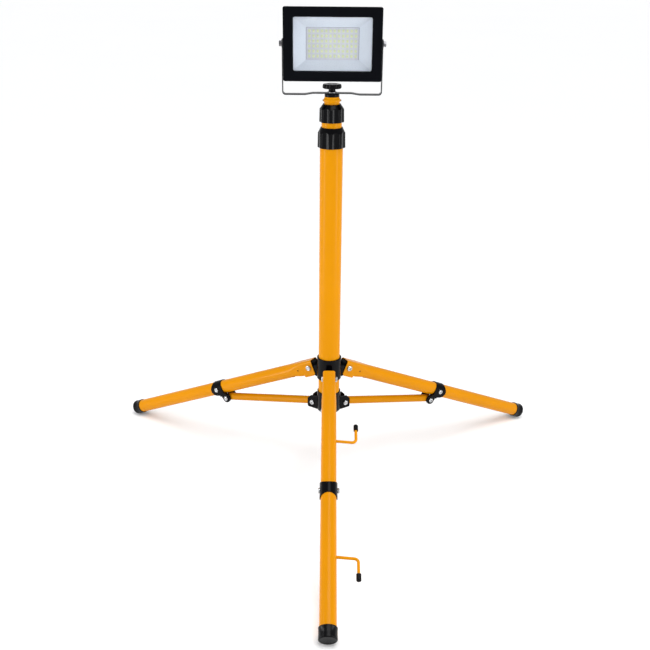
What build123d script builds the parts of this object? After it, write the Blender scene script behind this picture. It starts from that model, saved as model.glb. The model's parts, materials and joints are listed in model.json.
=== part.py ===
from build123d import *
import math
import os

os.makedirs("parts", exist_ok=True)

# LED work light on a folding telescopic tripod stand.
# Millimetres, +Z up. The origin is where the mast axis meets the floor.
# The lamp faces -Y and the front leg points to -Y; the other two legs stand at 120 degrees to it.

# ---------------------------------------------------------------- driving dimensions
LEG_ANGLE = 25.0            # leg below horizontal, stand open
LEG_R = 13.5                # leg tube, outer radius
LEG_WALL = 1.2
LEG_END = 498.0             # hub pivot to the end of the leg tube, along the leg
CAP_R = 15.0                # rubber foot
CAP_START = 480.0
CAP_END = 502.0
CAP_EDGE = 2.0
HUB_PIVOT_R = 38.4          # leg pivot, from the mast axis
BASE_DROP = 71.0            # strut pivot below the leg pivot
BASE_PIVOT_R = 30.2         # strut pivot, from the mast axis
CLAMP_ALONG = 229.0         # strut's outer pivot, along the leg
CLAMP_BELOW = 22.5          # and below its centre line
STRUT_R = 7.5
TUBE_WALL = 1.2

MAIN_R = 20.0               # three telescoping mast tubes
MAIN_WALL = 1.5
MIDDLE_R = 17.4
INNER_R = 14.25
PIN_R = 2.5                 # M5 hinge bolts
PIN_FIT = 0.06              # running clearance on a hinge pin
SEAT_FIT = 0.05             # clearance of pieces that are fixed together
LOCK_SCREW_R = 3.0          # screw that locks the hub
TILT_BOLT_R = 3.0           # bolts the lamp tilts on
VENT_R = 3.0                # neck of the breather vent
COVER_SCREW_R = 3.4         # heads of the screws in the lamp's back
SLIDE_FIT = 0.3             # clearance of pieces that slide over each other

LAMP_WIDTH = 163.0
LAMP_HEIGHT = 117.5
LAMP_Z = 821.5              # tilt axis and centre of the lamp
FRONT_Y = -18.0             # front face of the lamp

sin_leg = math.sin(math.radians(LEG_ANGLE))
cos_leg = math.cos(math.radians(LEG_ANGLE))
# the feet just touch Z = 0 on the rounded lower edge of their caps
HUB_Z = (CAP_END - CAP_EDGE) * sin_leg + (CAP_R - CAP_EDGE) * cos_leg + CAP_EDGE
BASE_Z = HUB_Z - BASE_DROP
CLAMP_R = HUB_PIVOT_R + CLAMP_ALONG * cos_leg - CLAMP_BELOW * sin_leg
CLAMP_Z = HUB_Z - CLAMP_ALONG * sin_leg - CLAMP_BELOW * cos_leg
STRUT_LENGTH = math.hypot(CLAMP_R - BASE_PIVOT_R, CLAMP_Z - BASE_Z)
LEGS = {"front": -90.0, "right": 30.0, "left": 150.0}
HUB_TOP = HUB_Z + 29
HUB_BOTTOM = HUB_Z - 15.5
BASE_TOP = BASE_Z + 29.5
BASE_BOTTOM = BASE_Z - 12
LOWER_COLLAR_Z = 650.6      # bottom of the lower twist collar
UPPER_COLLAR_Z = 694.0      # bottom of the upper twist collar
MAST_TOP = 736.0            # top of the inner tube
BAR_Z = 741.2               # underside of the bracket at the mast


def save(piece, name):
    """Label a finished piece and write its STEP."""
    piece.label = name
    export_step(piece, f"parts/{name}.step")


def outward(azimuth):
    """Unit vector from the mast axis towards a leg."""
    return Vector(math.cos(math.radians(azimuth)), math.sin(math.radians(azimuth)), 0)


def leg_location(azimuth):
    """Leg frame: origin on the hub pivot, X down along the leg, Z its upper normal."""
    out = outward(azimuth)
    along = out * cos_leg - Vector(0, 0, sin_leg)
    normal = out * sin_leg + Vector(0, 0, cos_leg)
    return Plane(origin=out * HUB_PIVOT_R + Vector(0, 0, HUB_Z), x_dir=along, z_dir=normal).location


def strut_location(azimuth):
    """Strut frame: origin on the base pivot, X along the strut to the clamp."""
    out = outward(azimuth)
    start = out * BASE_PIVOT_R + Vector(0, 0, BASE_Z)
    along = (out * CLAMP_R + Vector(0, 0, CLAMP_Z) - start).normalized()
    across = Vector(0, 0, 1).cross(out)
    return Plane(origin=start, x_dir=along, z_dir=along.cross(across)).location


def radial_plane(azimuth):
    """Upright plane through the mast axis: local X runs outward, local Y is up."""
    out = outward(azimuth)
    return Plane(origin=(0, 0, 0), x_dir=out, z_dir=out.cross(Vector(0, 0, 1)))


# ---------------------------------------------------------------- main tube and its foot
with BuildPart() as main_tube:
    with BuildSketch(Plane.XY.offset(BASE_BOTTOM + 3)):
        Circle(MAIN_R)
        Circle(MAIN_R - MAIN_WALL, mode=Mode.SUBTRACT)
    extrude(amount=LOWER_COLLAR_Z + 11 - BASE_BOTTOM - 3)
save(main_tube.part, "main_tube")

with BuildPart() as base_plug:
    with BuildSketch(Plane.XY.offset(BASE_BOTTOM)):
        Circle(MAIN_R - 0.2)
    extrude(amount=3)
    with BuildSketch(Plane.XY.offset(BASE_BOTTOM + 3)):
        Circle(MAIN_R - MAIN_WALL - SEAT_FIT)
        Circle(MAIN_R - 5, mode=Mode.SUBTRACT)
    extrude(amount=10)
save(base_plug.part, "base_plug")

STRUT_SLOT = 7.9            # half width of the slot that each strut swings in
BASE_R = 22.0
BASE_EAR = 11.5             # half width of a clevis
with BuildPart() as base_collar:
    with BuildSketch(Plane.XY.offset(BASE_BOTTOM)):
        Circle(BASE_R)
    extrude(amount=BASE_TOP - BASE_BOTTOM)
    chamfer(base_collar.edges().group_by(Axis.Z)[0], 2.5)
    for angle in LEGS.values():
        with BuildSketch(radial_plane(angle)):
            with BuildLine():
                Polyline(
                    (18, BASE_Z - 12), (38.5, BASE_Z - 11), (40.5, BASE_Z - 9), (40.5, BASE_Z + 7),
                    (34.5, BASE_Z + 13), (18, BASE_Z + 14.5), close=True)
            make_face()
        extrude(amount=BASE_EAR, both=True)
    for angle in LEGS.values():
        with BuildSketch(radial_plane(angle)):
            with Locations((BASE_R + 20, BASE_Z)):
                Rectangle(40, 40)
        extrude(amount=STRUT_SLOT, both=True, mode=Mode.SUBTRACT)
        with BuildSketch(radial_plane(angle)):
            with Locations((BASE_PIVOT_R, BASE_Z)):
                Circle(PIN_R + SEAT_FIT)
        extrude(amount=BASE_EAR + 1, both=True, mode=Mode.SUBTRACT)
    with BuildSketch(Plane.XY.offset(BASE_BOTTOM)):
        Circle(MAIN_R + SEAT_FIT)
    extrude(amount=BASE_TOP - BASE_BOTTOM, mode=Mode.SUBTRACT)
save(base_collar.part, "base_collar")

HEAD_R = 4.6
HEAD_T = 2.8
NUT_R = 4.9
NUT_T = 3.4
with BuildPart() as base_bolts:
    for angle in LEGS.values():
        with BuildSketch(radial_plane(angle).offset(-BASE_EAR)):
            with Locations((BASE_PIVOT_R, BASE_Z)):
                Circle(PIN_R)
        extrude(amount=2 * BASE_EAR + NUT_T + 1)
        with BuildSketch(radial_plane(angle).offset(-BASE_EAR - HEAD_T)):
            with Locations((BASE_PIVOT_R, BASE_Z)):
                Circle(HEAD_R)
        extrude(amount=HEAD_T)
save(base_bolts.part, "base_collar_bolts")

with BuildPart() as base_nuts:
    for angle in LEGS.values():
        with BuildSketch(radial_plane(angle).offset(BASE_EAR)):
            with Locations((BASE_PIVOT_R, BASE_Z)):
                RegularPolygon(NUT_R, 6)
                Circle(PIN_R + SEAT_FIT, mode=Mode.SUBTRACT)
        extrude(amount=NUT_T)
save(base_nuts.part, "base_collar_nuts")

# ---------------------------------------------------------------- hub that slides on the main tube
HUB_R = 23.0
LUG_HALF = 9.8              # half width of the lug inside a leg's forked end
LUG_R = 9.6
LOCK_Z = HUB_Z + 6          # height of the lock screw at the back
BOSS_END = 33.0
with BuildPart() as hub_collar:
    with BuildSketch(Plane.XY.offset(HUB_BOTTOM)):
        Circle(HUB_R)
    extrude(amount=HUB_TOP - HUB_BOTTOM)
    chamfer(hub_collar.edges().group_by(Axis.Z)[0], 2.0)
    fillet(hub_collar.edges().group_by(Axis.Z)[-1], 1.0)
    for angle in LEGS.values():
        with BuildSketch(radial_plane(angle)):
            with Locations((HUB_PIVOT_R, HUB_Z)):
                Circle(LUG_R)
            with BuildLine():
                Polyline(
                    (20, HUB_Z - 14.5), (35.5, HUB_Z - 9.1), (44, HUB_Z + 5), (38.5, HUB_Z + 9.5),
                    (34.6, HUB_Z + 13.4), (30.2, HUB_Z + 4.5), (27, HUB_Z + 8), (20, HUB_Z + 9.5),
                    close=True)
            make_face()
        extrude(amount=LUG_HALF, both=True)
    with BuildSketch(Plane.XZ.offset(-BOSS_END)):
        with Locations((0, LOCK_Z)):
            Circle(8.5)
    extrude(amount=BOSS_END - 15)
    with BuildSketch(Plane.XZ.offset(-BOSS_END)):
        with Locations((0, LOCK_Z)):
            Circle(5 + SEAT_FIT)
    extrude(amount=7, mode=Mode.SUBTRACT)
    with BuildSketch(Plane.XZ.offset(-BOSS_END)):
        with Locations((0, LOCK_Z)):
            Circle(LOCK_SCREW_R + 0.4)
    extrude(amount=BOSS_END, mode=Mode.SUBTRACT)
    with BuildSketch(Plane.XY.offset(HUB_BOTTOM)):
        Circle(MAIN_R + SLIDE_FIT)
    extrude(amount=HUB_TOP - HUB_BOTTOM, mode=Mode.SUBTRACT)
save(hub_collar.part, "hub_collar")

with BuildPart() as lock_insert:
    with BuildSketch(Plane.XZ.offset(-BOSS_END)):
        with Locations((0, LOCK_Z)):
            Circle(5)
            Circle(LOCK_SCREW_R + PIN_FIT, mode=Mode.SUBTRACT)
    extrude(amount=7)
save(lock_insert.part, "hub_lock_insert")

with BuildPart() as lock_screw:
    with BuildSketch(Plane.XZ.offset(-BOSS_END - 14)):
        with Locations((0, LOCK_Z)):
            Circle(LOCK_SCREW_R)
    extrude(amount=BOSS_END + 14 - MAIN_R - 0.1)
save(lock_screw.part, "hub_lock_screw")

LOCK_KNOB_R = 14.0
with BuildPart() as lock_knob:
    with BuildSketch(Plane.XZ.offset(-BOSS_END - 17)):
        with Locations((0, LOCK_Z)):
            Circle(LOCK_KNOB_R)
    extrude(amount=11)
    fillet(lock_knob.edges().filter_by(GeomType.CIRCLE), 2.0)
    with BuildSketch(Plane.XZ.offset(-BOSS_END - 18)):
        with Locations((0, LOCK_Z)):
            with PolarLocations(LOCK_KNOB_R + 3.5, 6):
                Circle(5.5)
    extrude(amount=13, mode=Mode.SUBTRACT)
    with BuildSketch(Plane.XZ.offset(-BOSS_END - 6)):
        with Locations((0, LOCK_Z)):
            Circle(6.5)
    extrude(amount=5.5)
    with BuildSketch(Plane.XZ.offset(-BOSS_END - 14)):
        with Locations((0, LOCK_Z)):
            Circle(LOCK_SCREW_R + SEAT_FIT)
    extrude(amount=14, mode=Mode.SUBTRACT)
save(lock_knob.part, "hub_lock_knob")

# ---------------------------------------------------------------- legs
FORK_WIDTH = 23.0           # pressed end: flat cheeks either side of the hub lug
FORK_HEIGHT = 28.5
FORK_DROP = FORK_HEIGHT / 2 - LEG_R   # its top stays level with the tube's
FORK_START = -9.0
FORK_STRAIGHT = 22.0
FORK_BLEND = 50.0
CHEEK_END = 16.0            # the cheeks hang lower as far as here, and end in a step
CHEEK_LOW = 17.0
LEG_PIN_R = 3.0             # fasteners of the leg's upper pivot
FORK_MOUTH = 48.0           # the underside is open this far, so that the leg folds over the lug
ROUND = 0.1                 # the round tube is a square with almost fully rounded corners
CLAMP_BOLT = 242.0
CLAMP_HALF = 15.25
CLAMP_EAR = 12.0            # half width over the lobes that hold the strut
HOOK_ROD_R = 2.5
HOOK_SIDE = {"upper": (141.0, -1.0), "lower": (365.0, 1.0)}   # along the leg, and which way it bends


def tube_profile(inset):
    """Sketch the fork section and the round section of the leg, at the three planes of the blend."""
    fork = (FORK_WIDTH - 2 * inset, FORK_HEIGHT - 2 * inset, 4.5 - inset)
    tube = (2 * (LEG_R - inset), 2 * (LEG_R - inset), LEG_R - inset - ROUND)
    return fork, tube


with BuildPart() as leg_blank:
    for inset, mode in ((0, Mode.ADD), (LEG_WALL, Mode.SUBTRACT)):
        fork, tube = tube_profile(inset)
        with BuildSketch(Plane.YZ.offset(FORK_START)):
            with Locations((0, -FORK_DROP)):
                RectangleRounded(*fork)
        extrude(amount=FORK_STRAIGHT - FORK_START, mode=mode)
        with BuildSketch(Plane.YZ.offset(FORK_STRAIGHT)):
            with Locations((0, -FORK_DROP)):
                RectangleRounded(*fork)
        with BuildSketch(Plane.YZ.offset(FORK_BLEND)):
            RectangleRounded(*tube)
        loft(mode=mode)
        with BuildSketch(Plane.YZ.offset(FORK_BLEND)):
            RectangleRounded(*tube)
        extrude(amount=LEG_END - FORK_BLEND, mode=mode)
    for cheek_y in (-FORK_WIDTH / 2, FORK_WIDTH / 2 - LEG_WALL):
        with BuildSketch(Plane.XZ.offset(cheek_y)):
            with BuildLine():
                Polyline(
                    (FORK_START, -8), (FORK_START, 3 - CHEEK_LOW), (FORK_START + 3, -CHEEK_LOW),
                    (CHEEK_END - 1.5, -CHEEK_LOW), (CHEEK_END, 1.5 - CHEEK_LOW), (CHEEK_END, -8),
                    close=True)
            make_face()
        extrude(amount=LEG_WALL)
    with Locations((FORK_MOUTH / 2 - 5, 0, -FORK_HEIGHT / 2)):
        Box(FORK_MOUTH + 10, FORK_WIDTH - 2 * LEG_WALL, 16, mode=Mode.SUBTRACT)
    with BuildSketch(Plane.XZ):
        Circle(LEG_PIN_R + SEAT_FIT)
        with Locations((CLAMP_BOLT, 0)):
            Circle(PIN_R + SEAT_FIT)
    extrude(amount=LEG_R + 5, both=True, mode=Mode.SUBTRACT)

with BuildPart() as leg_with_hook_holes:
    add(leg_blank.part)
    with BuildSketch(Plane.XZ):
        with Locations(*[(along, 0) for along, _ in HOOK_SIDE.values()]):
            Circle(HOOK_ROD_R + SEAT_FIT)
    extrude(amount=-LEG_R - 5, mode=Mode.SUBTRACT)

with BuildPart() as clamp:
    with BuildSketch(Plane.XZ):
        with BuildLine():
            Polyline(
                (233.5, 16), (251.5, 16), (254.5, 10.5), (257.5, 3), (257.5, -3), (254, -9),
                (248, -12), (240, -13.5), (238, -22.5), (220, -22.5), (221.5, -15.5),
                (228.5, -9), (228.5, 3), (230.5, 10), close=True)
        make_face()
        with Locations((CLAMP_ALONG, -CLAMP_BELOW)):
            Circle(9)
    extrude(amount=CLAMP_HALF, both=True)
    with BuildSketch(Plane.YZ.offset(210)):
        Circle(CLAMP_HALF)
        with Locations((0, -8)):
            Rectangle(2 * CLAMP_HALF, 16)
        with Locations((0, -22)):
            Rectangle(2 * CLAMP_EAR, 24)
    extrude(amount=60, mode=Mode.INTERSECT)
    with BuildSketch(Plane.YZ.offset(210)):
        RectangleRounded(2 * LEG_R + 0.1, 2 * LEG_R + 0.1, LEG_R - ROUND)
        with Locations((0, -25)):
            Rectangle(2 * STRUT_SLOT + 0.6, 25)
    extrude(amount=60, mode=Mode.SUBTRACT)
    with BuildSketch(Plane.XZ):
        with Locations((CLAMP_BOLT, 0), (CLAMP_ALONG, -CLAMP_BELOW)):
            Circle(PIN_R + SEAT_FIT)
    extrude(amount=CLAMP_HALF + 1, both=True, mode=Mode.SUBTRACT)

with BuildPart() as foot_cap:
    with BuildSketch(Plane.YZ.offset(CAP_START)):
        Circle(CAP_R)
    extrude(amount=CAP_END - CAP_START)
    fillet(foot_cap.edges().group_by(Axis.X)[-1], CAP_EDGE)
    fillet(foot_cap.edges().group_by(Axis.X)[0], 0.8)
    with BuildSketch(Plane.YZ.offset(CAP_START)):
        RectangleRounded(2 * LEG_R + 0.1, 2 * LEG_R + 0.1, LEG_R - ROUND)
    extrude(amount=LEG_END - CAP_START, mode=Mode.SUBTRACT)

CHEEK = FORK_WIDTH / 2
with BuildPart() as leg_fasteners:
    # leg pivot: a rivet-like head and a nut, each with a short shank in its own cheek
    with BuildSketch(Plane.XZ.offset(CHEEK - LEG_WALL)):
        Circle(LEG_PIN_R)
    extrude(amount=LEG_WALL)
    with BuildSketch(Plane.XZ.offset(CHEEK)):
        Circle(5.4)
    extrude(amount=3)
    with BuildSketch(Plane.XZ.offset(-CHEEK)):
        Circle(LEG_PIN_R)
    extrude(amount=LEG_WALL)
    with BuildSketch(Plane.XZ.offset(-CHEEK - 4)):
        RegularPolygon(5.6, 6)
    extrude(amount=4)
    # clamp bolt and strut bolt run right through
    for x, z, half in ((CLAMP_BOLT, 0, CLAMP_HALF), (CLAMP_ALONG, -CLAMP_BELOW, CLAMP_EAR)):
        with BuildSketch(Plane.XZ.offset(-half - 0.1)):
            with Locations((x, z)):
                Circle(PIN_R)
        extrude(amount=2 * half + 0.2)
        with BuildSketch(Plane.XZ.offset(half + 0.1)):
            with Locations((x, z)):
                Circle(HEAD_R)
        extrude(amount=HEAD_T)
        with BuildSketch(Plane.XZ.offset(-half - NUT_T - 0.1)):
            with Locations((x, z)):
                RegularPolygon(NUT_R, 6)
        extrude(amount=NUT_T)

# ---------------------------------------------------------------- struts
with BuildPart() as strut:
    with BuildSketch(Plane.YZ.offset(-STRUT_R)):
        Circle(STRUT_R)
        Circle(STRUT_R - TUBE_WALL, mode=Mode.SUBTRACT)
    extrude(amount=STRUT_LENGTH + 2 * STRUT_R)
    with BuildSketch(Plane.XZ):
        with Locations((STRUT_LENGTH / 2, 0)):
            SlotCenterToCenter(STRUT_LENGTH, 2 * STRUT_R - 0.02)
    extrude(amount=STRUT_R + 1, both=True, mode=Mode.INTERSECT)
    with BuildSketch(Plane.XZ):
        with Locations((0, 0), (STRUT_LENGTH, 0)):
            Circle(PIN_R + PIN_FIT)
    extrude(amount=STRUT_R + 1, both=True, mode=Mode.SUBTRACT)

for side, angle in LEGS.items():
    leg_source = leg_with_hook_holes if side == "front" else leg_blank
    place = leg_location(angle)
    save(leg_source.part.moved(place), f"leg_tube_{side}")
    save(clamp.part.moved(place), f"leg_clamp_{side}")
    save(foot_cap.part.moved(place), f"foot_cap_{side}")
    save(leg_fasteners.part.moved(place), f"leg_fasteners_{side}")
    save(strut.part.moved(strut_location(angle)), f"strut_{side}")

# ---------------------------------------------------------------- cable hooks on the front leg
HOOK_REACH = 34.5           # centre line of the bent arm, from the leg's side
HOOK_ARM = 35.0
HOOK_SAG = 3.0              # the welded rod points a little towards the foot
HOOK_BEND = 7.0
TIP_LENGTH = 12.5
TIP_OVERLAP = 9.0           # length of rod inside its tip
TIP_R = 4.2
leg_front = leg_location(LEGS["front"])
for which, (along, way) in HOOK_SIDE.items():
    side_y = LEG_R + HOOK_REACH
    arm_end = along + HOOK_SAG + way * HOOK_ARM
    tip_plane = Plane(origin=(arm_end - way * TIP_OVERLAP, side_y, 0), z_dir=(way, 0, 0))
    with BuildPart() as hook:
        with BuildLine(Plane.XY):
            FilletPolyline(
                (along, LEG_R - LEG_WALL), (along, LEG_R + 1), (along + HOOK_SAG, side_y),
                (arm_end, side_y), radius=HOOK_BEND)
        with BuildSketch(Plane(origin=(along, LEG_R - LEG_WALL, 0), z_dir=(0, 1, 0))):
            Circle(HOOK_ROD_R)
        sweep()
    save(hook.part.moved(leg_front), f"cable_hook_{which}")
    with BuildPart() as tip:
        with BuildSketch(tip_plane):
            Circle(TIP_R)
        extrude(amount=TIP_LENGTH)
        fillet(tip.edges().sort_by(Axis.X)[-1 if way > 0 else 0], 2.5)
        with BuildSketch(tip_plane):
            Circle(HOOK_ROD_R + SEAT_FIT)
        extrude(amount=TIP_OVERLAP + SEAT_FIT, mode=Mode.SUBTRACT)
    save(tip.part.moved(leg_front), f"hook_tip_{which}")

# ---------------------------------------------------------------- telescoping tubes and their guides
MIDDLE_BOTTOM = 195.0
INNER_BOTTOM = 215.0
MIDDLE_TOP = UPPER_COLLAR_Z + 8
with BuildPart() as middle_tube:
    with BuildSketch(Plane.XY.offset(MIDDLE_BOTTOM)):
        Circle(MIDDLE_R)
        Circle(MIDDLE_R - TUBE_WALL, mode=Mode.SUBTRACT)
    extrude(amount=MIDDLE_TOP - MIDDLE_BOTTOM)
save(middle_tube.part, "middle_tube")

SWAGE = 4.0                 # the inner tube narrows at its top to seat the plug
NECK_R = 12.6
with BuildPart() as inner_tube:
    with BuildSketch(Plane.XZ):
        with BuildLine():
            Polyline(
                (INNER_R, INNER_BOTTOM), (INNER_R, MAST_TOP - SWAGE), (NECK_R, MAST_TOP - SWAGE / 2),
                (NECK_R, MAST_TOP), (NECK_R - TUBE_WALL, MAST_TOP),
                (NECK_R - TUBE_WALL, MAST_TOP - SWAGE / 2 - 0.5),
                (INNER_R - TUBE_WALL, MAST_TOP - SWAGE - 0.5), (INNER_R - TUBE_WALL, INNER_BOTTOM),
                close=True)
        make_face()
    revolve(axis=Axis.Z)
save(inner_tube.part, "inner_tube")


def guide_bush(tube_bottom, tube_r, bore_r, name):
    """Plastic bush pressed over the bottom end of a sliding tube."""
    with BuildPart() as bush:
        with BuildSketch(Plane.XY.offset(tube_bottom - 3)):
            Circle(bore_r - SLIDE_FIT)
            Circle(tube_r - 3, mode=Mode.SUBTRACT)
        extrude(amount=3)
        with BuildSketch(Plane.XY.offset(tube_bottom)):
            Circle(bore_r - SLIDE_FIT)
            Circle(tube_r + SEAT_FIT, mode=Mode.SUBTRACT)
        extrude(amount=18)
    save(bush.part, name)


guide_bush(MIDDLE_BOTTOM, MIDDLE_R, MAIN_R - MAIN_WALL, "middle_guide_bush")
guide_bush(INNER_BOTTOM, INNER_R, MIDDLE_R - TUBE_WALL, "inner_guide_bush")


def thread_bush(tube_top, tube_r, tube_wall, inner_r, outer_r, name):
    """Threaded sleeve on a tube's top end, with a guide lip for the next tube."""
    with BuildPart() as bush:
        with BuildSketch(Plane.XY.offset(tube_top - 8)):
            Circle(outer_r)
            Circle(tube_r + SEAT_FIT, mode=Mode.SUBTRACT)
        extrude(amount=8)
        with BuildSketch(Plane.XY.offset(tube_top)):
            Circle(outer_r)
            Circle(inner_r + SLIDE_FIT, mode=Mode.SUBTRACT)
        extrude(amount=6)
    save(bush.part, name)


def collet(bottom, inner_r, name):
    """Split gripping ring, with one narrow slot."""
    with BuildPart() as ring:
        with BuildSketch(Plane.XY.offset(bottom)):
            Circle(inner_r + SLIDE_FIT + 1.2)
            Circle(inner_r + SLIDE_FIT, mode=Mode.SUBTRACT)
            with Locations((0, inner_r + 1)):
                Rectangle(1.2, 6, mode=Mode.SUBTRACT)
        extrude(amount=6)
    save(ring.part, name)


LOBES = 8


def twist_collar(bottom, height, outer_r, neck_r, thread_r, inner_r, name):
    """Fluted clamping collar: a skirt over the thread and a cone that closes on the inner tube."""
    shoulder = bottom + height * 0.74
    bore_top = bottom + height * 0.60
    with BuildPart() as collar:
        with BuildSketch(Plane.XZ):
            with BuildLine():
                Polyline(
                    (thread_r, bottom), (outer_r, bottom), (outer_r - 0.5, shoulder),
                    (neck_r + 0.4, bottom + height - 1), (neck_r, bottom + height),
                    (inner_r + SLIDE_FIT, bottom + height), (inner_r + SLIDE_FIT, bottom + height - 3),
                    (thread_r, bore_top + 2.5), close=True)
            make_face()
        revolve(axis=Axis.Z)
        with PolarLocations(outer_r + 5.0, LOBES):
            with Locations((0, 0, bottom - 2)):
                Cylinder(6, height * 0.62, align=(Align.CENTER, Align.CENTER, Align.MIN), mode=Mode.SUBTRACT)
            with Locations((0, 0, bottom - 2 + height * 0.62)):
                Sphere(6, mode=Mode.SUBTRACT)
    save(collar.part, name)


thread_bush(LOWER_COLLAR_Z + 11, MAIN_R, MAIN_WALL, MIDDLE_R, 21.4, "lower_thread_bush")
collet(LOWER_COLLAR_Z + 18, MIDDLE_R, "lower_collet")
twist_collar(LOWER_COLLAR_Z, 34.5, 24.0, 19.2, 21.75, MIDDLE_R, "lower_twist_collar")
thread_bush(MIDDLE_TOP, MIDDLE_R, TUBE_WALL, INNER_R, 18.7, "upper_thread_bush")
collet(UPPER_COLLAR_Z + 15, INNER_R, "upper_collet")
twist_collar(UPPER_COLLAR_Z, 30.0, 21.3, 15.6, 19.05, INNER_R, "upper_twist_collar")

# ---------------------------------------------------------------- head: plug, stud, bracket and knob
STUD_R = 4.0
with BuildPart() as top_plug:
    with BuildSketch(Plane.XY.offset(MAST_TOP)):
        Circle(12.5)
    extrude(amount=BAR_Z - 0.1 - MAST_TOP)
    chamfer(top_plug.edges().group_by(Axis.Z)[-1], 0.6)
    with BuildSketch(Plane.XY.offset(MAST_TOP)):
        Circle(NECK_R - TUBE_WALL - SEAT_FIT)
    extrude(amount=-20)
    with BuildSketch(Plane.XY.offset(BAR_Z)):
        Circle(STUD_R + SEAT_FIT)
    extrude(amount=-18, mode=Mode.SUBTRACT)
save(top_plug.part, "top_plug")

with BuildPart() as head_stud:
    with BuildSketch(Plane.XY.offset(BAR_Z - 17)):
        Circle(STUD_R)
    extrude(amount=28)
    chamfer(head_stud.edges().group_by(Axis.Z)[-1], 0.8)
save(head_stud.part, "head_stud")

BRACKET_X = 83.0            # centre line of the bracket's arms
BRACKET_T = 1.6
BRACKET_W = 14.0
BAR_DROP = 2.2              # the bar is lower either side of its raised middle
bar_mid = BAR_Z + BRACKET_T / 2
with BuildPart() as bracket:
    with BuildSketch(Plane.XZ):
        with BuildLine() as path:
            FilletPolyline(
                (-BRACKET_X, LAMP_Z + 8), (-BRACKET_X, bar_mid - BAR_DROP), (-46, bar_mid - BAR_DROP),
                (-32, bar_mid), (32, bar_mid), (46, bar_mid - BAR_DROP),
                (BRACKET_X, bar_mid - BAR_DROP), (BRACKET_X, LAMP_Z + 8), radius=5)
        trace(path.line, line_width=BRACKET_T)
    extrude(amount=BRACKET_W / 2, both=True)
    top_edges = bracket.edges().filter_by(Axis.X).group_by(Axis.Z)[-1]
    fillet(top_edges, BRACKET_W / 2 - 0.2)
    with BuildSketch(Plane.YZ):
        with Locations((0, LAMP_Z)):
            Circle(TILT_BOLT_R + PIN_FIT)
    extrude(amount=BRACKET_X + 5, both=True, mode=Mode.SUBTRACT)
    with BuildSketch(Plane.XY.offset(BAR_Z - 5)):
        Circle(STUD_R + PIN_FIT)
    extrude(amount=15, mode=Mode.SUBTRACT)
save(bracket.part, "head_bracket")

WASHER_TOP = BAR_Z + BRACKET_T + 1.2
with BuildPart() as head_washer:
    with BuildSketch(Plane.XY.offset(BAR_Z + BRACKET_T)):
        Circle(8)
        Circle(STUD_R + 0.4, mode=Mode.SUBTRACT)
    extrude(amount=1.2)
save(head_washer.part, "head_washer")

KNOB_R = 16.0
KNOB_Z = 749.6
KNOB_TOP = 757.2
with BuildPart() as head_knob:
    with BuildSketch(Plane.XY.offset(KNOB_Z)):
        Circle(KNOB_R)
    extrude(amount=KNOB_TOP - KNOB_Z)
    fillet(head_knob.edges().filter_by(GeomType.CIRCLE), 1.8)
    with BuildSketch(Plane.XY.offset(KNOB_Z - 1)):
        with PolarLocations(KNOB_R + 3.2, 7):
            Circle(5.2)
    extrude(amount=10, mode=Mode.SUBTRACT)
    with BuildSketch(Plane.XY.offset(WASHER_TOP + 0.1)):
        Circle(6.2)
    extrude(amount=KNOB_Z - WASHER_TOP + 1)
    with BuildSketch(Plane.XY.offset(WASHER_TOP)):
        Circle(STUD_R + 1.5 + SEAT_FIT)
    extrude(amount=8.5, mode=Mode.SUBTRACT)
save(head_knob.part, "head_knob")

with BuildPart() as knob_insert:
    with BuildSketch(Plane.XY.offset(WASHER_TOP + 0.1)):
        Circle(STUD_R + 1.5)
        Circle(STUD_R + PIN_FIT, mode=Mode.SUBTRACT)
    extrude(amount=8.2)
save(knob_insert.part, "head_knob_insert")

# ---------------------------------------------------------------- lamp head
BEZEL_T = 8.0
WINDOW = (131.0, 86.0)
BODY = (159.0, 113.0)
BODY_FRONT = FRONT_Y + BEZEL_T
BODY_BACK = 8.0
FLOOR_Y = 3.0
FIN_BACK = 20.0
CORNER = (73.5, 50.5)       # cover screws, from the lamp's centre
GLAND_XZ = (0.0, LAMP_Z - 34)
BOARD_Y = 1.2


def lamp_plane(y):
    """Plane across the lamp at depth y: local X is +X, local Y is up, normal to the front."""
    return Plane(origin=(0, y, LAMP_Z), x_dir=(1, 0, 0), z_dir=(0, -1, 0))


with BuildPart() as bezel:
    with BuildSketch(lamp_plane(BODY_FRONT)):
        RectangleRounded(LAMP_WIDTH, LAMP_HEIGHT, 3)
    extrude(amount=BEZEL_T)
    fillet(bezel.faces().sort_by(Axis.Y)[0].edges(), 1.2)
    with BuildSketch(lamp_plane(BODY_FRONT)):
        RectangleRounded(*WINDOW, 4)
    extrude(amount=BEZEL_T, mode=Mode.SUBTRACT)
    chamfer(bezel.faces().sort_by(Axis.Y)[0].inner_wires().edges(), 1.0)
    with BuildSketch(lamp_plane(BODY_FRONT)):
        RectangleRounded(WINDOW[0] + 8, WINDOW[1] + 8, 6)
    extrude(amount=4.4, mode=Mode.SUBTRACT)
    with BuildSketch(lamp_plane(BODY_FRONT)):
        with GridLocations(2 * CORNER[0], 2 * CORNER[1], 2, 2):
            Circle(1.95)
    extrude(amount=5, mode=Mode.SUBTRACT)
save(bezel.part, "lamp_bezel")

with BuildPart() as glass:
    with BuildSketch(lamp_plane(BODY_FRONT - 1.3)):
        RectangleRounded(WINDOW[0] + 7.6, WINDOW[1] + 7.6, 5.8)
    extrude(amount=3)
save(glass.part, "lamp_glass")

with BuildPart() as gasket:
    with BuildSketch(lamp_plane(BODY_FRONT)):
        RectangleRounded(WINDOW[0] + 7.6, WINDOW[1] + 7.6, 5.8)
        RectangleRounded(WINDOW[0] + 1, WINDOW[1] + 1, 3.5, mode=Mode.SUBTRACT)
    extrude(amount=1.3)
save(gasket.part, "glass_gasket")

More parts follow.
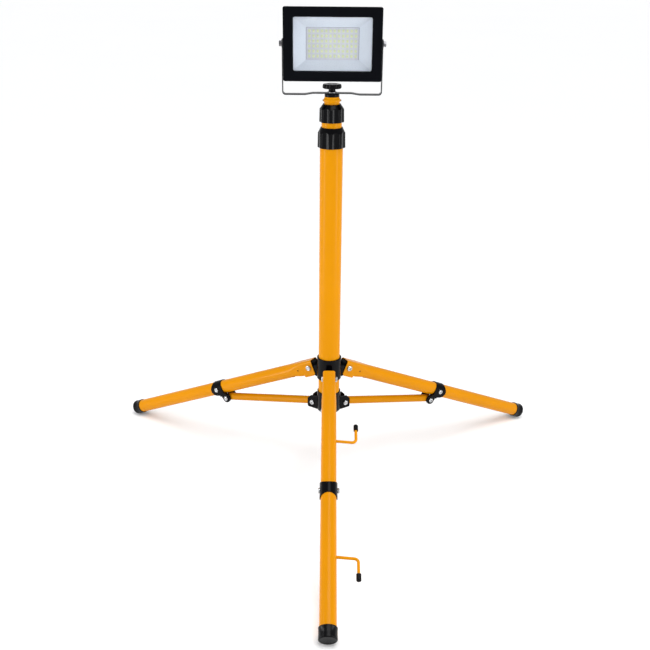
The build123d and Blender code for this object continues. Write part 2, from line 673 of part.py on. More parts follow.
FINS = 17
FIN_PITCH = 9.0
FIN_T = 2.4
with BuildPart() as housing:
    with BuildSketch(lamp_plane(BODY_BACK)):
        RectangleRounded(*BODY, 5)
    extrude(amount=BODY_BACK - BODY_FRONT)
    fillet(housing.faces().sort_by(Axis.Y)[-1].edges(), 2.5)
    with BuildSketch(Plane.YZ):
        with Locations((0, LAMP_Z)):
            Circle(8)
    extrude(amount=BRACKET_X - BRACKET_T / 2 - 0.3, both=True)
    with BuildSketch(lamp_plane(FIN_BACK)):
        with GridLocations(FIN_PITCH, 0, FINS, 1):
            Rectangle(FIN_T, 90)
        with Locations((GLAND_XZ[0], GLAND_XZ[1] - LAMP_Z)):
            Rectangle(30, 26)
    extrude(amount=FIN_BACK - BODY_BACK + 0.5)
    with BuildSketch(lamp_plane(BODY_BACK + 4)):
        with Locations((GLAND_XZ[0], GLAND_XZ[1] - LAMP_Z)):
            Rectangle(33, 29)
    extrude(amount=-FIN_BACK, mode=Mode.SUBTRACT)
    with BuildSketch(lamp_plane(FLOOR_Y)):
        RectangleRounded(BODY[0] - 6, BODY[1] - 6, 3)
        with GridLocations(2 * CORNER[0], 2 * CORNER[1], 2, 2):
            Circle(5, mode=Mode.SUBTRACT)
    extrude(amount=FLOOR_Y - BODY_FRONT, mode=Mode.SUBTRACT)
    with BuildSketch(lamp_plane(FIN_BACK)):
        with GridLocations(2 * CORNER[0], 2 * CORNER[1], 2, 2):
            Circle(2.05)
        with Locations((GLAND_XZ[0], GLAND_XZ[1] - LAMP_Z)):
            Circle(6.05)
        with Locations((GLAND_XZ[0] + 27, GLAND_XZ[1] - LAMP_Z - 16.5)):
            Circle(VENT_R + SEAT_FIT)
    extrude(amount=60, mode=Mode.SUBTRACT)
    with BuildSketch(Plane.YZ):
        with Locations((0, LAMP_Z)):
            Circle(TILT_BOLT_R + SEAT_FIT)
    extrude(amount=100, both=True, mode=Mode.SUBTRACT)
save(housing.part, "lamp_housing")

BOARD = (92.0, 56.0)
APERTURE = (88.0, 52.0)
with BuildPart() as reflector:
    with BuildSketch(lamp_plane(BODY_FRONT - 0.1)):
        RectangleRounded(130.0, 85.0, 3)
    with BuildSketch(lamp_plane(BOARD_Y)):
        RectangleRounded(APERTURE[0] + 1.8, APERTURE[1] + 1.8, 1.2)
    loft()
    with BuildSketch(lamp_plane(BODY_FRONT - 0.1)):
        RectangleRounded(128.4, 83.4, 2.2)
    with BuildSketch(lamp_plane(BOARD_Y)):
        RectangleRounded(APERTURE[0], APERTURE[1], 0.4)
    loft(mode=Mode.SUBTRACT)
save(reflector.part, "reflector")

with BuildPart() as board:
    with BuildSketch(lamp_plane(BOARD_Y + 1.6)):
        RectangleRounded(*BOARD, 2)
    extrude(amount=1.5)
save(board.part, "led_board")

CHIP_COLUMNS = 12
CHIP_ROWS = 6
with BuildPart() as chips:
    with BuildSketch(lamp_plane(BOARD_Y + 0.1)):
        with GridLocations(7.0, 8.0, CHIP_COLUMNS, CHIP_ROWS):
            Rectangle(2.8, 3.5)
    extrude(amount=0.8)
save(chips.part, "led_chips")

with BuildPart() as thermal_pad:
    with BuildSketch(lamp_plane(FLOOR_Y)):
        RectangleRounded(BOARD[0] - 2, BOARD[1] - 2, 2)
    extrude(amount=0.2)
save(thermal_pad.part, "thermal_pad")

with BuildPart() as driver:
    with BuildSketch(lamp_plane(FLOOR_Y)):
        with Locations((62, 0)):
            Rectangle(16, 50)
    extrude(amount=1.6)
    with BuildSketch(lamp_plane(FLOOR_Y - 1.6)):
        with Locations((66, 14), (66, -2), (67, -17)):
            Rectangle(6, 9)
    extrude(amount=5)
save(driver.part, "led_driver")

with BuildPart() as cover_screws:
    with BuildSketch(lamp_plane(BODY_BACK + 2.6)):
        with GridLocations(2 * CORNER[0], 2 * CORNER[1], 2, 2):
            Circle(COVER_SCREW_R)
    extrude(amount=2.6)
    with BuildSketch(lamp_plane(BODY_BACK)):
        with GridLocations(2 * CORNER[0], 2 * CORNER[1], 2, 2):
            Circle(1.9)
    extrude(amount=BODY_BACK - BODY_FRONT + 4.5)
save(cover_screws.part, "cover_screws")

CORD_R = 3.7
with BuildPart() as gland:
    with BuildSketch(lamp_plane(BODY_BACK + 4)):
        with Locations((GLAND_XZ[0], GLAND_XZ[1] - LAMP_Z)):
            Circle(6)
    extrude(amount=7)
    with BuildSketch(lamp_plane(BODY_BACK + 9)):
        with Locations((GLAND_XZ[0], GLAND_XZ[1] - LAMP_Z)):
            RegularPolygon(9, 6)
    extrude(amount=5)
    with BuildSketch(lamp_plane(BODY_BACK + 16)):
        with Locations((GLAND_XZ[0], GLAND_XZ[1] - LAMP_Z)):
            Circle(6)
    extrude(amount=7)
    with BuildSketch(lamp_plane(BODY_BACK + 17)):
        with Locations((GLAND_XZ[0], GLAND_XZ[1] - LAMP_Z)):
            Circle(CORD_R)
    extrude(amount=40, mode=Mode.SUBTRACT)
save(gland.part, "cable_gland")

with BuildPart() as gland_nut:
    with BuildSketch(lamp_plane(BODY_BACK + 20)):
        with Locations((GLAND_XZ[0], GLAND_XZ[1] - LAMP_Z)):
            Circle(8.2)
    extrude(amount=10.8)
    fillet(gland_nut.edges().group_by(Axis.Y)[-1], 2.5)
    with BuildSketch(lamp_plane(BODY_BACK + 16)):
        with Locations((GLAND_XZ[0], GLAND_XZ[1] - LAMP_Z)):
            Circle(6.05)
    extrude(amount=20, mode=Mode.SUBTRACT)
    with BuildSketch(lamp_plane(BODY_BACK + 20)):
        with Locations((GLAND_XZ[0], GLAND_XZ[1] - LAMP_Z)):
            Circle(CORD_R)
    extrude(amount=20, mode=Mode.SUBTRACT)
save(gland_nut.part, "gland_nut")

with BuildPart() as vent:
    with BuildSketch(lamp_plane(BODY_BACK)):
        with Locations((GLAND_XZ[0] + 27, GLAND_XZ[1] - LAMP_Z - 16.5)):
            Circle(VENT_R)
    extrude(amount=4)
    with BuildSketch(lamp_plane(BODY_BACK + 3)):
        with Locations((GLAND_XZ[0] + 27, GLAND_XZ[1] - LAMP_Z - 16.5)):
            Circle(5)
    extrude(amount=3)
save(vent.part, "breather_vent")

WASHER_T = 0.7
arm_face = BRACKET_X + BRACKET_T / 2
with BuildPart() as tilt_bolts:
    for way in (1, -1):
        with BuildSketch(Plane(origin=(way * (BODY[0] / 2 - 3.5), 0, LAMP_Z), z_dir=(way, 0, 0))):
            Circle(TILT_BOLT_R)
        extrude(amount=arm_face + WASHER_T - BODY[0] / 2 + 3.5)
        with BuildSketch(Plane(origin=(way * (arm_face + WASHER_T), 0, LAMP_Z), z_dir=(way, 0, 0))):
            RegularPolygon(5.6, 6)
        extrude(amount=4.2)
save(tilt_bolts.part, "tilt_bolts")

with BuildPart() as tilt_washers:
    for way in (1, -1):
        with BuildSketch(Plane(origin=(way * arm_face, 0, LAMP_Z), z_dir=(way, 0, 0))):
            Circle(6.5)
            Circle(TILT_BOLT_R + SEAT_FIT, mode=Mode.SUBTRACT)
        extrude(amount=WASHER_T - 0.05)
save(tilt_washers.part, "tilt_washers")
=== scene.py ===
import json
import math

import bmesh
import bpy
from mathutils import Matrix, Vector


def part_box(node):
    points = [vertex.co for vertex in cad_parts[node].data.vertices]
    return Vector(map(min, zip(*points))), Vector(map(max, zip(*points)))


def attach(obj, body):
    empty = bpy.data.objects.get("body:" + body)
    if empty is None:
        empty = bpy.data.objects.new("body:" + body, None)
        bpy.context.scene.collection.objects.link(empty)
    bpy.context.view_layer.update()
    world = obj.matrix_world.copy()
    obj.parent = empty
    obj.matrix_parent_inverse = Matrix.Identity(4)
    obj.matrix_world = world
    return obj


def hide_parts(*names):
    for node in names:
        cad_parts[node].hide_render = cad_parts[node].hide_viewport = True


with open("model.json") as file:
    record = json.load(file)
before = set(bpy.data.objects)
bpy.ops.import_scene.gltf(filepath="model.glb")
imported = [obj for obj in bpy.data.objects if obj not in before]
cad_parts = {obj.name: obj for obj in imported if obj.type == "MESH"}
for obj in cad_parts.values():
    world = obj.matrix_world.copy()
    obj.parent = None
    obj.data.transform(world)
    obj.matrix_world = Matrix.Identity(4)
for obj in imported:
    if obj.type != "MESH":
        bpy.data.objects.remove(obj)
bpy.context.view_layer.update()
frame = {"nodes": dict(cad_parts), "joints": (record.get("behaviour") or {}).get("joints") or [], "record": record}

MM = 0.001
LEGS = {"front": -90.0, "right": 30.0, "left": 150.0}
UP = Vector((0, 0, 1))

# ---------------------------------------------------------------- CAD dimensions used again here, in mm
LEG_ANGLE = 25.0                        # legs below level, in degrees
LEG_R = 13.5
HUB_PIVOT_R = 38.4                      # leg pivots from the mast's axis
HUB_RISE = 29.0                         # top of the hub above the leg pivot
BASE_DROP = 71.0                        # base pivots below the hub's
BASE_PIVOT_R = 30.2                     # strut pivots from the mast's axis
BASE_EAR = 11.5                         # half width of the base collar's clevises
CHEEK = 11.5                            # half width of the leg's fork
CHEEK_WALL = 1.5
CLAMP_BOLT = (242.0, 0.0, 15.35)        # along the leg, above its centre line, half width
STRUT_BOLT = (229.0, -22.5, 12.1)
HEAD_R, HEAD_T = 4.6, 2.8               # bolt heads and nuts of the clamps, struts and base
NUT_R, NUT_T = 4.9, 3.4
BOLT_R = 2.5
PIVOT_R = 3.0                           # leg pivot pins and the lamp's tilt bolts
CAP_START, CAP_END, CAP_R = 482.0, 502.0, 15.0
WASHER_T = 0.7
DIMPLE_ALONG = 27.0                     # pressed mark where the fork opens out of the tube; drawn as a flat black disc, painted shade of the dent
DIMPLE_BELOW = 0.5
INNER_R, NECK_R, INNER_WALL = 14.25, 12.6, 1.5

tilt_joint = next(j for j in frame["joints"] if j["name"] == "lamp_tilt")
LAMP_Z = tilt_joint["pos_m"][2] / MM
HUB_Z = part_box("hub_collar")[1][2] / MM - HUB_RISE
BASE_Z = HUB_Z - BASE_DROP
node_slot = {s["node"]: s["material_slot"] for s in frame["record"]["subparts"]}
node_body = {n: body for body, names in frame["record"]["behaviour"]["bodies"].items() for n in names}


def outward(side):
    a = math.radians(LEGS[side])
    return Vector((math.cos(a), math.sin(a), 0))


def leg_matrix(side):
    """Leg frame in mm: origin on the hub pivot, X down along the leg, Z its upper normal."""
    a = math.radians(LEG_ANGLE)
    out = outward(side)
    along = out * math.cos(a) - UP * math.sin(a)
    normal = out * math.sin(a) + UP * math.cos(a)
    matrix = Matrix((along, normal.cross(along), normal)).transposed().to_4x4()
    matrix.translation = out * HUB_PIVOT_R + UP * HUB_Z
    return matrix


def facing(place, direction, spin=0.0):
    """Matrix that turns a piece's own +Z along a direction, at a place."""
    matrix = Vector(direction).to_track_quat("Z", "Y").to_matrix().to_4x4()
    matrix.translation = Vector(place)
    return matrix @ Matrix.Rotation(math.radians(spin), 4, "Z")


# ---------------------------------------------------------------- materials
RAMP_ENDS = (0.3, 0.7)                  # noise values where the mottling reaches its two ends
SMUDGE_SCALE = 4                        # roughness noise, finer than the mottling by this
MIRROR_LIMIT = 0.02                     # lowest roughness
GRAIN_DEPTH = 0.0004                    # in metres


def make_material(name, colour, roughness, metallic=0.0, coat=0.0, coat_roughness=0.1, specular=0.5,
                  grain=(900.0, 0.05), mottle=(12.0, 0.08), rough_swing=0.08):
    """Principled surface with a fine bump, slow colour mottling and uneven roughness.

    grain and mottle are (noise scale, strength) pairs; rough_swing is how far the roughness wanders.
    """
    material = bpy.data.materials.new(name)
    material.use_nodes = True
    nodes, links = material.node_tree.nodes, material.node_tree.links
    shader = nodes["Principled BSDF"]
    shader.inputs["Metallic"].default_value = metallic
    shader.inputs["Coat Weight"].default_value = coat
    shader.inputs["Coat Roughness"].default_value = coat_roughness
    shader.inputs["Specular IOR Level"].default_value = specular
    place = nodes.new("ShaderNodeTexCoord")

    def noise(scale, detail):
        node = nodes.new("ShaderNodeTexNoise")
        node.inputs["Scale"].default_value = scale
        node.inputs["Detail"].default_value = detail
        links.new(place.outputs["Object"], node.inputs["Vector"])
        return node.outputs["Fac"]

    ramp = nodes.new("ShaderNodeValToRGB")
    for stop, position, change in zip(ramp.color_ramp.elements, RAMP_ENDS, (-mottle[1], mottle[1])):
        stop.position = position
        stop.color = (*[min(1, c * (1 + change)) for c in colour], 1)
    links.new(noise(mottle[0], 4), ramp.inputs["Fac"])
    links.new(ramp.outputs["Color"], shader.inputs["Base Color"])

    swing = nodes.new("ShaderNodeMapRange")
    swing.inputs["To Min"].default_value = max(MIRROR_LIMIT, roughness - rough_swing)
    swing.inputs["To Max"].default_value = min(1.0, roughness + rough_swing)
    links.new(noise(mottle[0] * SMUDGE_SCALE, 5), swing.inputs["Value"])
    links.new(swing.outputs["Result"], shader.inputs["Roughness"])

    bump = nodes.new("ShaderNodeBump")
    bump.inputs["Strength"].default_value = grain[1]
    bump.inputs["Distance"].default_value = GRAIN_DEPTH
    links.new(noise(grain[0], 3), bump.inputs["Height"])
    links.new(bump.outputs["Normal"], shader.inputs["Normal"])
    return material


def glass_material(name):
    """Clear toughened glass, with a trace of dust in its gloss."""
    material = make_material(name, (0.95, 0.97, 1.0), 0.03, grain=(40, 0.01), mottle=(30, 0.01),
                             rough_swing=0.02, specular=0.3)
    shader = material.node_tree.nodes["Principled BSDF"]
    shader.inputs["Transmission Weight"].default_value = 1.0
    shader.inputs["IOR"].default_value = 1.15
    return material


ORANGE = make_material("orange_powder_coat", (0.64, 0.248, 0.0003), 0.24, specular=0.06, coat=0.02,
                       coat_roughness=0.12, grain=(1400, 0.10), mottle=(9, 0.03), rough_swing=0.06)
# legs: the same orange a little darker, painted shade for their less lit sides, and a little glossier
SHADED_LEG_ORANGE = make_material("orange_coat_painted_shade_legs", (0.60, 0.226, 0.0003), 0.20, specular=0.09, coat=0.03,
                           coat_roughness=0.12, grain=(1400, 0.10), mottle=(9, 0.035), rough_swing=0.06)
# struts: the same orange darker still, painted shade for the low struts that get less light
SHADED_STRUT_ORANGE = make_material("orange_coat_painted_shade_struts", (0.53, 0.198, 0.0003), 0.26, specular=0.06,
                             coat=0.01, coat_roughness=0.14, grain=(1400, 0.12), mottle=(12, 0.04),
                             rough_swing=0.06)
BLACK = make_material("black_moulded_plastic", (0.0010, 0.0010, 0.0016), 0.17, specular=0.10,
                      grain=(2600, 0.06), mottle=(60, 0.15), rough_swing=0.05)
FOOT_RUBBER = make_material("black_rubber", (0.0022, 0.0023, 0.0028), 0.22, specular=0.11,
                            grain=(1800, 0.12), mottle=(80, 0.2))
BEZEL = make_material("gloss_black_coat", (0.0024, 0.0028, 0.0042), 0.34, specular=0.03,
                      grain=(1500, 0.06), mottle=(25, 0.12))
CASTING = make_material("black_casting", (0.0048, 0.0048, 0.0058), 0.30, specular=0.12,
                        grain=(1100, 0.16), mottle=(40, 0.15))
BRACKET = make_material("grey_satin_steel", (0.020, 0.022, 0.024), 0.34, specular=0.30,
                        grain=(1200, 0.10), mottle=(35, 0.12))
ZINC = make_material("zinc_plate", (0.50, 0.51, 0.52), 0.24, metallic=1.0,
                     grain=(2200, 0.10), mottle=(400, 0.10))
DARK_ZINC = make_material("dark_zinc_plate", (0.20, 0.20, 0.21), 0.28, metallic=1.0,
                          grain=(2200, 0.10), mottle=(400, 0.12))
BRASS = make_material("turned_brass", (0.72, 0.52, 0.22), 0.3, metallic=1.0,
                      grain=(2500, 0.1), mottle=(300, 0.08))
NYLON = make_material("natural_nylon", (0.55, 0.53, 0.48), 0.5, grain=(900, 0.05), mottle=(50, 0.05))
REFLECTOR = make_material("satin_white_reflector", (0.79, 0.83, 0.89), 0.42, specular=0.3,
                          grain=(700, 0.03), mottle=(18, 0.02))
MASK = make_material("white_solder_mask", (0.73, 0.73, 0.78), 0.45, specular=0.3,
                     grain=(1500, 0.06), mottle=(90, 0.04))
PHOSPHOR = make_material("yellow_phosphor", (0.86, 0.88, 0.41), 0.45, specular=0.3,
                         grain=(3000, 0.12), mottle=(900, 0.12))
PACKAGE = make_material("led_package", (0.82, 0.84, 0.71), 0.4, specular=0.3,
                        grain=(3000, 0.04), mottle=(900, 0.04))
PAD = make_material("led_pads", (0.76, 0.80, 0.63), 0.45, specular=0.3,
                    grain=(2500, 0.05), mottle=(500, 0.05))
# dark grey of the strips round the board: painted shade of the gap behind the reflector's opening
GAP_SHADE_GREY = make_material("painted_gap_shade", (0.13, 0.14, 0.17), 0.5, grain=(1500, 0.05), mottle=(60, 0.06))
GLASS = glass_material("toughened_glass")
DRIVER = make_material("driver_board", (0.30, 0.31, 0.30), 0.45, grain=(1200, 0.05), mottle=(200, 0.1))
FLOOR = make_material("pale_floor", (0.955, 0.955, 0.955), 0.75, specular=0.1,
                      grain=(300, 0.01), mottle=(0.6, 0.004))

SLOT_MATERIALS = {
    "orange_paint": ORANGE, "black_plastic": BLACK, "natural_plastic": NYLON, "zinc_steel": ZINC,
    "brass_insert": BRASS, "grey_bracket": BRACKET, "black_casting": CASTING, "clear_glass": GLASS,
    "black_rubber": FOOT_RUBBER, "white_reflector": REFLECTOR, "board_white": MASK, "phosphor": PHOSPHOR,
}
OWN_MATERIALS = {"lamp_bezel": BEZEL, "led_driver": DRIVER, "head_washer": DARK_ZINC}
# legs and struts take the orange copies with painted shade
for side in LEGS:
    OWN_MATERIALS[f"leg_tube_{side}"] = SHADED_LEG_ORANGE
    OWN_MATERIALS[f"strut_{side}"] = SHADED_STRUT_ORANGE


def material_of(node):
    return OWN_MATERIALS.get(node, SLOT_MATERIALS[node_slot[node]])


# ---------------------------------------------------------------- mesh helpers
def new_piece(name, bm, material, body, replaced=(), smooth_angle=35, scale=MM):
    """Turn a bmesh into a scene object that rides on a body and may stand for CAD nodes."""
    bmesh.ops.remove_doubles(bm, verts=bm.verts, dist=1e-7 / scale)
    bmesh.ops.recalc_face_normals(bm, faces=bm.faces)
    bm.transform(Matrix.Scale(scale, 4))
    limit = math.radians(smooth_angle)
    for face in bm.faces:
        face.smooth = True
    for edge in bm.edges:
        edge.smooth = len(edge.link_faces) == 2 and edge.calc_face_angle(0) < limit
    mesh = bpy.data.meshes.new(name)
    bm.to_mesh(mesh)
    bm.free()
    mesh.materials.append(material)
    obj = bpy.data.objects.new(name, mesh)
    bpy.context.scene.collection.objects.link(obj)
    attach(obj, body)
    if replaced:
        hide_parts(*replaced)
    return obj


def softened(node, width, segments=2, angle=32):
    """The CAD shape again with rounded edges, as a moulding, casting or pressing has them."""
    bm = bmesh.new()
    bm.from_mesh(frame["nodes"][node].data)
    bmesh.ops.remove_doubles(bm, verts=bm.verts, dist=2e-6)
    bmesh.ops.dissolve_limit(bm, angle_limit=math.radians(0.5), verts=bm.verts, edges=bm.edges)
    obj = new_piece(f"{node}_finished", bm, material_of(node), node_body[node], (node,),
                    scale=1)
    bevel = obj.modifiers.new("edge_rounding", "BEVEL")
    bevel.width = width * MM
    bevel.segments = segments
    bevel.limit_method = "ANGLE"
    bevel.angle_limit = math.radians(angle)
    bevel.harden_normals = True
    return obj


def lathe(bm, profile, matrix, steps=64, shape=None, closed=False):
    """Turned surface from (radius, height) points; shape(angle, radius, height) may move a point."""
    rings = []
    for radius, height in profile:
        if radius < 1e-6:
            rings.append([bm.verts.new(matrix @ Vector((0, 0, height)))])
            continue
        ring = []
        for k in range(steps):
            a = 2 * math.pi * k / steps
            r, z = shape(a, radius, height) if shape else (radius, height)
            ring.append(bm.verts.new(matrix @ Vector((r * math.cos(a), r * math.sin(a), z))))
        rings.append(ring)
    pairs = list(zip(rings, rings[1:])) + ([(rings[-1], rings[0])] if closed else [])
    for first, second in pairs:
        for k in range(steps):
            n = (k + 1) % steps
            corners = [first[k % len(first)], first[n % len(first)],
                       second[n % len(second)], second[k % len(second)]]
            corners = [v for i, v in enumerate(corners) if v not in corners[:i]]
            if len(corners) > 2:
                bm.faces.new(corners)


def arc(centre_r, centre_z, radius, start, end, steps=5):
    """Points on an arc of a profile, angles in degrees from outward towards up."""
    return [(centre_r + radius * math.cos(math.radians(start + (end - start) * k / steps)),
             centre_z + radius * math.sin(math.radians(start + (end - start) * k / steps)))
            for k in range(steps + 1)]


def hexagon(flat_r):
    """Limits a turned shape to a hexagon with this distance to its flats."""
    def shape(a, r, z):
        return min(r, flat_r / math.cos((a + math.pi / 6) % (math.pi / 3) - math.pi / 6)), z
    return shape


def smooth_min(a, b, blend):
    h = max(0.0, min(1.0, 0.5 + 0.5 * (a - b) / blend))
    return a + (b - a) * h - blend * h * (1 - h)


def scallops(count, phase, flute_r, centre_r, blend=0.5):
    """Round finger grips cut into a turned shape."""
    def shape(a, r, z):
        d = (a - math.radians(phase) + math.pi / count) % (2 * math.pi / count) - math.pi / count
        left = flute_r ** 2 - (centre_r * math.sin(d)) ** 2
        return (smooth_min(r, centre_r * math.cos(d) - math.sqrt(left), blend), z) if left > 0 else (r, z)
    return shape


def flutes(count, phase, outer, depth, half_width, blend=0.3):
    """Shallow round-bottomed flutes; where the shape turns in above them they end in arches."""
    def shape(a, r, z):
        d = (a - math.radians(phase) + math.pi / count) % (2 * math.pi / count) - math.pi / count
        x = outer * math.sin(d) / half_width
        return (smooth_min(r, outer - depth * (1 - x * x), blend), z) if abs(x) < 1.15 else (r, z)
    return shape


def pan_head(bm, matrix, radius, height):
    """Pan head with a rounded edge and a cross recess."""
    edge = height * 0.5
    inner = radius - edge
    profile = [(radius, 0)] + arc(inner, height * 0.92 - edge, edge, 0, 80, 5)
    profile += [(inner * f, height * (1 - 0.08 * f * f)) for f in
                (0.92, 0.84, 0.76, 0.68, 0.6, 0.52, 0.44, 0.36, 0.28, 0.2, 0.1)]
    reach, arm = radius * 0.52, radius * 0.13

    def cross(a, r, z):
        x, y = abs(r * math.cos(a)), abs(r * math.sin(a))
        return r, z - (height * 0.42 if r < reach and min(x, y) < arm else 0)

    lathe(bm, profile + [(0, height)], matrix, 56, cross)


def lock_nut(bm, matrix, corner_r, height, bolt_r, stub):
    """Self-locking nut with chamfered corners, its collar, and the bolt's threaded end inside."""
    flat = corner_r * 0.866
    profile = [(bolt_r, 0), (corner_r - 0.5, 0), (corner_r, 0.35), (corner_r, height * 0.62),
               (flat * 0.97, height * 0.76)]
    lathe(bm, profile, matrix, 72, hexagon(flat))
    collar = arc(flat * 0.86 - 0.5, height - 0.5, 0.5, 0, 90, 4)
    lathe(bm, [(flat * 0.97, height * 0.76), (flat * 0.86, height * 0.8)] + collar
          + [(bolt_r + 0.15, height - 0.2), (bolt_r, height - 0.9)], matrix, 72)
    thread = []
    turns = max(2, round((stub + 0.7) / 0.4))
    for k in range(turns):
        z = height - 0.9 + k * (stub + 0.7) / turns
        thread += [(bolt_r, z), (bolt_r - 0.22, z + 0.2)]
    lathe(bm, thread + [(bolt_r - 0.5, height + stub - 0.1), (0, height + stub - 0.1)], matrix, 40)


def rod(bm, matrix, radius, start, end):
    lathe(bm, [(0, start), (radius, start), (radius, end), (0, end)], matrix, 32)


# ---------------------------------------------------------------- camera, floor and light
LENS, SENSOR = 50.14, 36
CAMERA_PLACE = Vector((-0.00843, -1.56015, HUB_Z * MM + 0.73973))
TILT_DOWN = 22.51
ROLL = 0.5
camera_data = bpy.data.cameras.new("photo_camera")
camera_data.lens = LENS
camera_data.sensor_width = SENSOR
camera_data.clip_start = 0.05
camera_data.clip_end = 300
camera = bpy.data.objects.new("photo_camera", camera_data)
bpy.context.scene.collection.objects.link(camera)
camera.matrix_world = (Matrix.Translation(CAMERA_PLACE)
                       @ Matrix.Rotation(math.radians(90 - TILT_DOWN), 4, "X")
                       @ Matrix.Rotation(math.radians(ROLL), 4, "Z"))
bpy.context.scene.camera = camera
bpy.context.scene.view_settings.view_transform = "Standard"

FLOOR_HALF, FLOOR_GAP = 70, 0.0005      # half its side, and how far it lies under the feet, in metres
floor_bm = bmesh.new()
bmesh.ops.create_grid(floor_bm, x_segments=4, y_segments=4, size=FLOOR_HALF)
floor_mesh = bpy.data.meshes.new("floor")
floor_bm.to_mesh(floor_mesh)
floor_bm.free()
floor_mesh.materials.append(FLOOR)
floor = bpy.data.objects.new("floor", floor_mesh)
floor.location.z = -FLOOR_GAP
bpy.context.scene.collection.objects.link(floor)

# even studio light, white near the horizon so that the backdrop stays pale in low views
SKY_FADE = (0.08, 0.28, 1.0, 0.515)     # from and to height, strength there
SKY_COLOUR = (0.975, 0.985, 1.0, 1)
world = bpy.data.worlds.new("studio")
world.use_nodes = True
sky, sky_links = world.node_tree.nodes, world.node_tree.links
sky_height = sky.new("ShaderNodeSeparateXYZ")
sky_links.new(sky.new("ShaderNodeTexCoord").outputs["Generated"], sky_height.inputs["Vector"])
sky_ramp = sky.new("ShaderNodeMapRange")
for socket, value in zip(("From Min", "From Max", "To Min", "To Max"), SKY_FADE):
    sky_ramp.inputs[socket].default_value = value
sky_links.new(sky_height.outputs["Z"], sky_ramp.inputs["Value"])
sky_links.new(sky_ramp.outputs["Result"], sky["Background"].inputs["Strength"])
sky["Background"].inputs["Color"].default_value = SKY_COLOUR
bpy.context.scene.world = world


def sun(name, direction, strength, spread):
    """Soft sun from a direction; spread is its apparent width in degrees."""
    data = bpy.data.lights.new(name, "SUN")
    data.energy = strength
    data.angle = math.radians(spread)
    obj = bpy.data.objects.new(name, data)
    obj.matrix_world = facing((0, 0, 3), direction)
    bpy.context.scene.collection.objects.link(obj)


def softbox(name, place, target, size, power):
    """Rectangular lamp of (width, height) that faces a target."""
    data = bpy.data.lights.new(name, "AREA")
    data.shape = "RECTANGLE"
    data.size, data.size_y = size
    data.energy = power
    obj = bpy.data.objects.new(name, data)
    obj.matrix_world = facing(place, Vector(place) - Vector(target))
    bpy.context.scene.collection.objects.link(obj)


STRIP_TARGET = (0, -0.1, 0.62)          # the two strips draw the upright highlights on the tubes
sun("key_sun", (0.15, -0.20, 1.0), 1.76, 45)
softbox("left_strip", (-1.18, -0.42, 0.62), STRIP_TARGET, (0.26, 1.24), 9)
softbox("right_strip", (1.12, -0.66, 0.62), STRIP_TARGET, (0.22, 1.24), 8)

# ---------------------------------------------------------------- carried-over CAD nodes
for node, obj in frame["nodes"].items():
    obj.data.materials.clear()
    obj.data.materials.append(material_of(node))

EDGE_WIDTHS = {
    "hub_collar": 0.7, "base_collar": 0.8, "lamp_housing": 0.4, "lamp_bezel": 0.3, "head_bracket": 0.3,
    "top_plug": 0.3, "cable_gland": 0.3, "gland_nut": 0.3, "breather_vent": 0.4,
    "leg_clamp_front": 0.6, "leg_clamp_right": 0.6, "leg_clamp_left": 0.6,
}
for node, width in EDGE_WIDTHS.items():
    softened(node, width)


# ---------------------------------------------------------------- twist collars
FLUTE_COUNT, FLUTE_PHASE, FLUTE_DEPTH = 8, 18, 2.0
FLUTE_WIDTH = 0.285                     # half width, as a share of the outer radius
SHOULDER = 0.74                         # share of the height where the collar turns in


def twist_collar(node, outer, neck, bore, thread):
    """Fluted clamping collar with rounded lips, from its outer, neck, bore and thread radii."""
    low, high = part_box(node)
    bottom, top = low[2] / MM, high[2] / MM
    height = top - bottom
    shoulder = bottom + height * SHOULDER
    profile = [(thread, bottom), (outer - 0.9, bottom)] + arc(outer - 0.9, bottom + 0.9, 0.9, -80, 0, 4)[:-1]
    profile += [(outer - 0.4 * k / 8, bottom + 1.0 + (shoulder - bottom - 1.6) * k / 8) for k in range(9)]
    profile += arc(outer - 1.3, shoulder - 0.5, 0.9, 0, 50, 4)
    steps = 20
    start_r, start_z = profile[-1]
    profile += [(start_r + (neck + 0.1 - start_r) * k / steps, start_z + (top - 0.7 - start_z) * k / steps)
                for k in range(1, steps)]
    profile += arc(neck - 0.6, top - 0.7, 0.7, 10, 90, 4) + [(bore + 0.9, top)]
    profile += [(bore + 0.3, top - 0.6), (bore + 0.3, top - 3), (thread, bottom + height * 0.6 + 2.5)]
    bm = bmesh.new()
    lathe(bm, profile, Matrix.Identity(4), 360,
          flutes(FLUTE_COUNT, FLUTE_PHASE, outer, FLUTE_DEPTH, outer * FLUTE_WIDTH), closed=True)
    new_piece(f"{node}_moulded", bm, BLACK, node_body[node], (node,), smooth_angle=42)


twist_collar("lower_twist_collar", outer=24.0, neck=19.2, bore=17.4, thread=21.75)
twist_collar("upper_twist_collar", outer=21.3, neck=15.6, bore=INNER_R, thread=19.05)

# inner tube: a rolled bead at its top, with the ends of the plug's cross pin
tube_low, tube_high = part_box("inner_tube")
tube_top = tube_high[2] / MM
PIN_DROP, PIN_REACH, PIN_R = 6.2, 14.8, 1.4
outside = [(0.0, NECK_R), (1.6, 12.65), (2.6, 13.1), (3.6, 13.8), (4.6, 14.4), (5.6, 14.6), (6.6, 14.6),
           (7.6, 14.4), (8.6, 13.8), (9.6, 13.4), (10.8, 13.2), (12.6, 13.2), (13.4, INNER_R)]
profile = [(radius, tube_top - depth) for depth, radius in outside] + [(INNER_R, tube_low[2] / MM)]
profile += [(INNER_R - INNER_WALL, tube_low[2] / MM), (INNER_R - INNER_WALL, tube_top - 14.5),
            (NECK_R - INNER_WALL, tube_top - 11), (NECK_R - INNER_WALL, tube_top)]
tube_bm, pin_bm = bmesh.new(), bmesh.new()
lathe(tube_bm, profile, Matrix.Identity(4), 128, closed=True)
new_piece("inner_tube_beaded", tube_bm, ORANGE, "inner_mast", ("inner_tube",))
